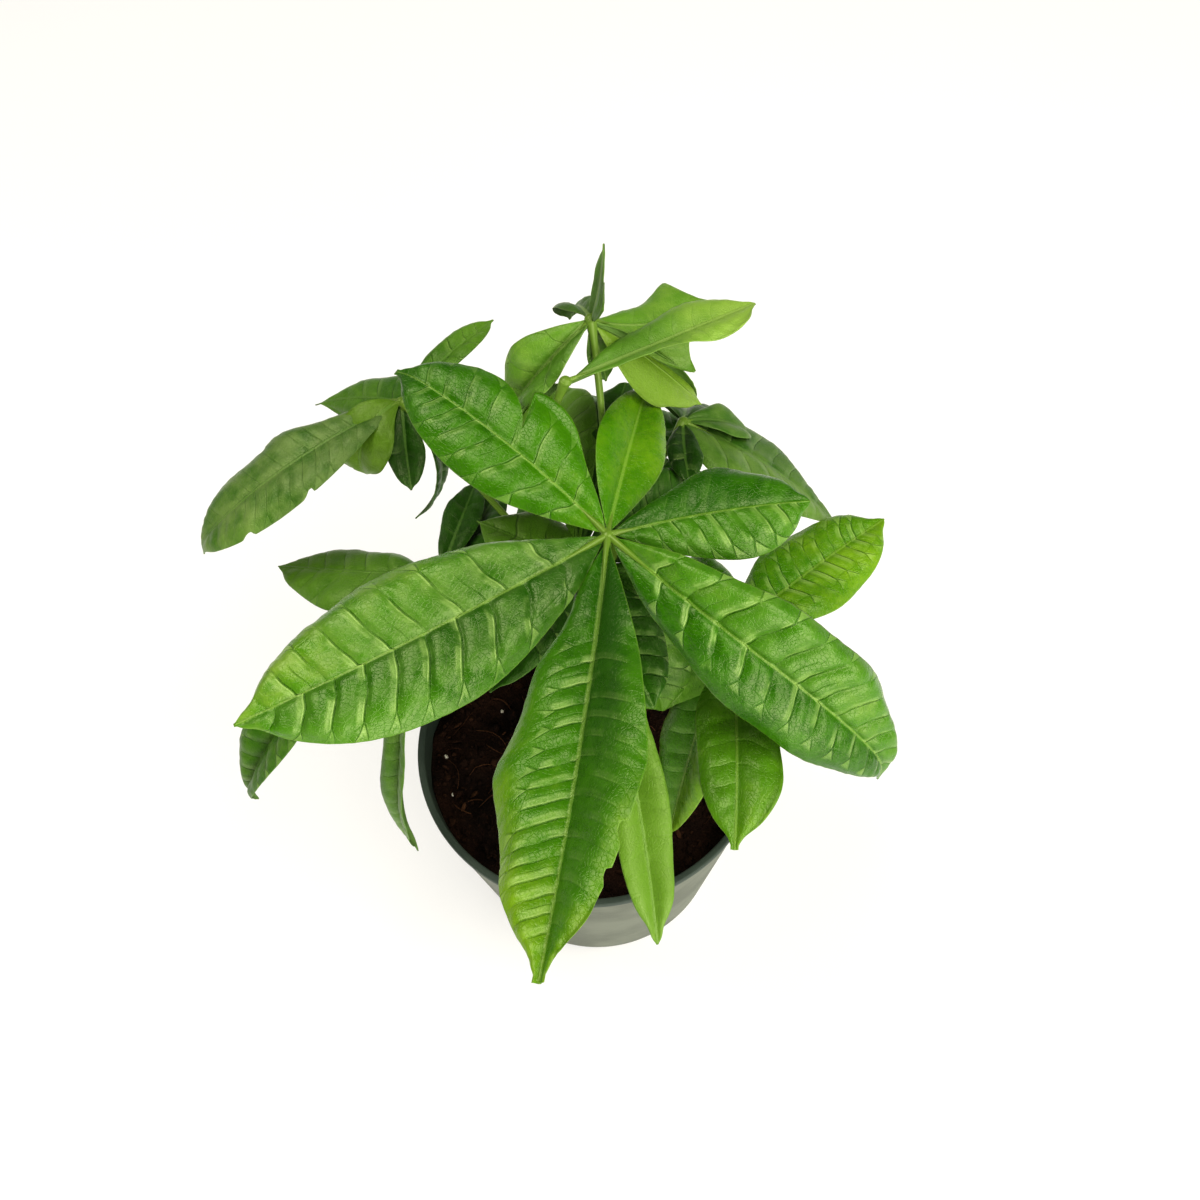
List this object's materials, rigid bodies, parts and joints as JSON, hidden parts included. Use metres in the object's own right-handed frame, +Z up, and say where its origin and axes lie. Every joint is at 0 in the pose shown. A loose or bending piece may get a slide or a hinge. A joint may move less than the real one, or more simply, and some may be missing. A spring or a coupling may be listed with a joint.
{
  "type": "potted money tree",
  "caption": "Potted money tree: a braided trunk in a round tapered nursery pot, with hand-shaped green leaves on long stalks over dark soil.",
  "frame": {"origin": "centre of the pot's flat base, on the surface that the pot stands on", "axes": "+Z up along the pot's axis, -Y towards the side that the plant is looked at from, +X to the right of that view"},
  "size_m": [0.2786, 0.2979, 0.3273],
  "materials": {
    "pot_plastic": "satin moulded plastic, dark green-grey at the lip",
    "potting_soil": "loose dark peat with fibres and pale grit",
    "bark": "matt bark, green near the top and flaking brown lower down",
    "leaf_bright": "glossy fresh leaf with sunken veins",
    "leaf_pale": "satin pale green leaf",
    "leaf_dark": "satin dark green leaf"
  },
  "bodies": {
    "root": {"pot": "pot_plastic", "soil": "potting_soil", "stem_1": "bark", "stem_2": "bark", "stem_3": "bark", "leaf_front": "leaf_bright", "leaf_back": "leaf_pale", "leaf_crossing": "leaf_pale", "leaf_right_back": "leaf_dark", "leaf_left_back": "leaf_dark", "leaf_left": "leaf_dark", "leaf_right": "leaf_bright", "leaf_under_front": "leaf_dark", "leaf_back_low": "leaf_dark"}
  },
  "joints": []
}
